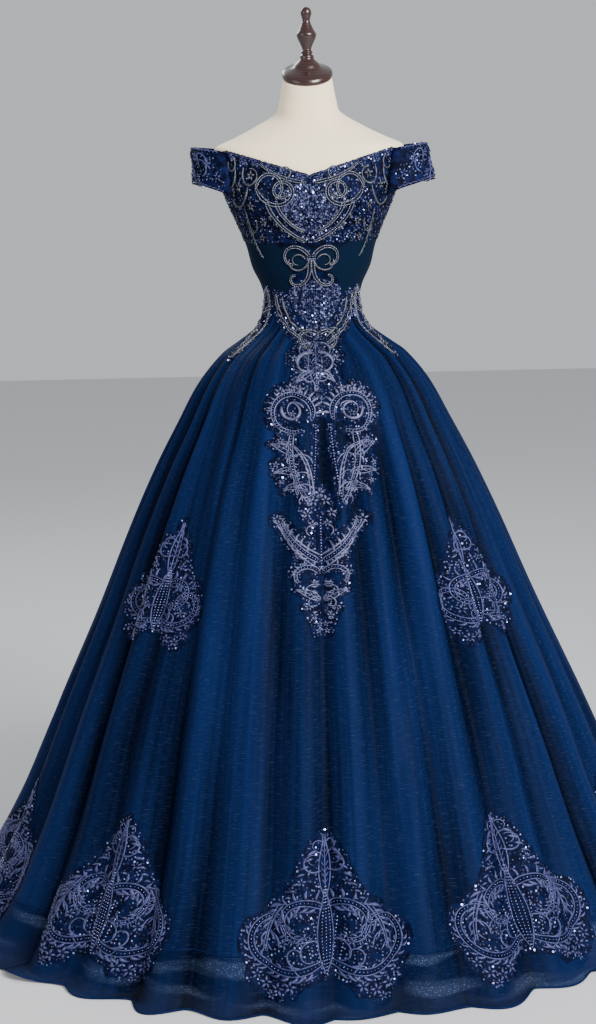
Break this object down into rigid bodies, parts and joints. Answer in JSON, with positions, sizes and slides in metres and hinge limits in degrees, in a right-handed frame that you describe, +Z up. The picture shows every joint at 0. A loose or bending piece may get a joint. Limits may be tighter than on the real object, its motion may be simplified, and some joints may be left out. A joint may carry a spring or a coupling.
{
  "type": "a-line evening dress on a dress form",
  "caption": "Off-the-shoulder a-line evening dress with lace bodice and full folded organza skirt, standing on a limbless dress form",
  "frame": {"origin": "on the floor, at the middle of the stand's base under the dress form's pole", "axes": "+Z up, the dress's front faces -Y, +X is to the right of someone facing the front"},
  "size_m": [1.3868, 1.3852, 1.6643],
  "materials": {
    "organza": "royal blue organza with a fine crosswise sparkle",
    "satin": "deep blue satin",
    "lace_ground": "sheer navy net covered with beaded lace",
    "lace_cord": "raised silver and lilac cord with sequins",
    "jersey": "matt cream jersey over a firm form",
    "dark_wood": "turned wood with a dark cherry gloss varnish",
    "steel": "plain steel tube"
  },
  "bodies": {
    "root": {"form_torso": "jersey", "neck_cap": "dark_wood", "stand_base": "dark_wood", "stand_pole": "steel", "bodice_front": "lace_ground", "bodice_back_left": "lace_ground", "bodice_back_right": "lace_ground", "back_zip": "satin", "sleeve_left": "lace_ground", "sleeve_right": "lace_ground", "skirt_front": "organza", "skirt_side_left": "organza", "skirt_side_right": "organza", "skirt_back_left": "organza", "skirt_back_right": "organza", "underskirt_front": "satin", "underskirt_back": "satin", "bust_lace_left": "lace_cord", "bust_lace_right": "lace_cord", "centre_lace_drop": "lace_cord", "centre_lace_left": "lace_cord", "centre_lace_right": "lace_cord", "hip_lace_left": "lace_cord", "hip_lace_right": "lace_cord", "lower_lace": "lace_cord", "midriff_lace": "lace_cord", "waist_lace": "lace_cord", "side_lace_front_left": "lace_cord", "side_lace_front_right": "lace_cord", "side_lace_back_left": "lace_cord", "side_lace_back_right": "lace_cord", "hem_lace_1": "lace_cord", "hem_lace_2": "lace_cord", "hem_lace_3": "lace_cord", "hem_lace_4": "lace_cord", "hem_lace_5": "lace_cord", "hem_lace_6": "lace_cord", "hem_lace_7": "lace_cord", "hem_lace_8": "lace_cord", "hem_lace_9": "lace_cord", "hem_lace_10": "lace_cord"}
  },
  "joints": []
}
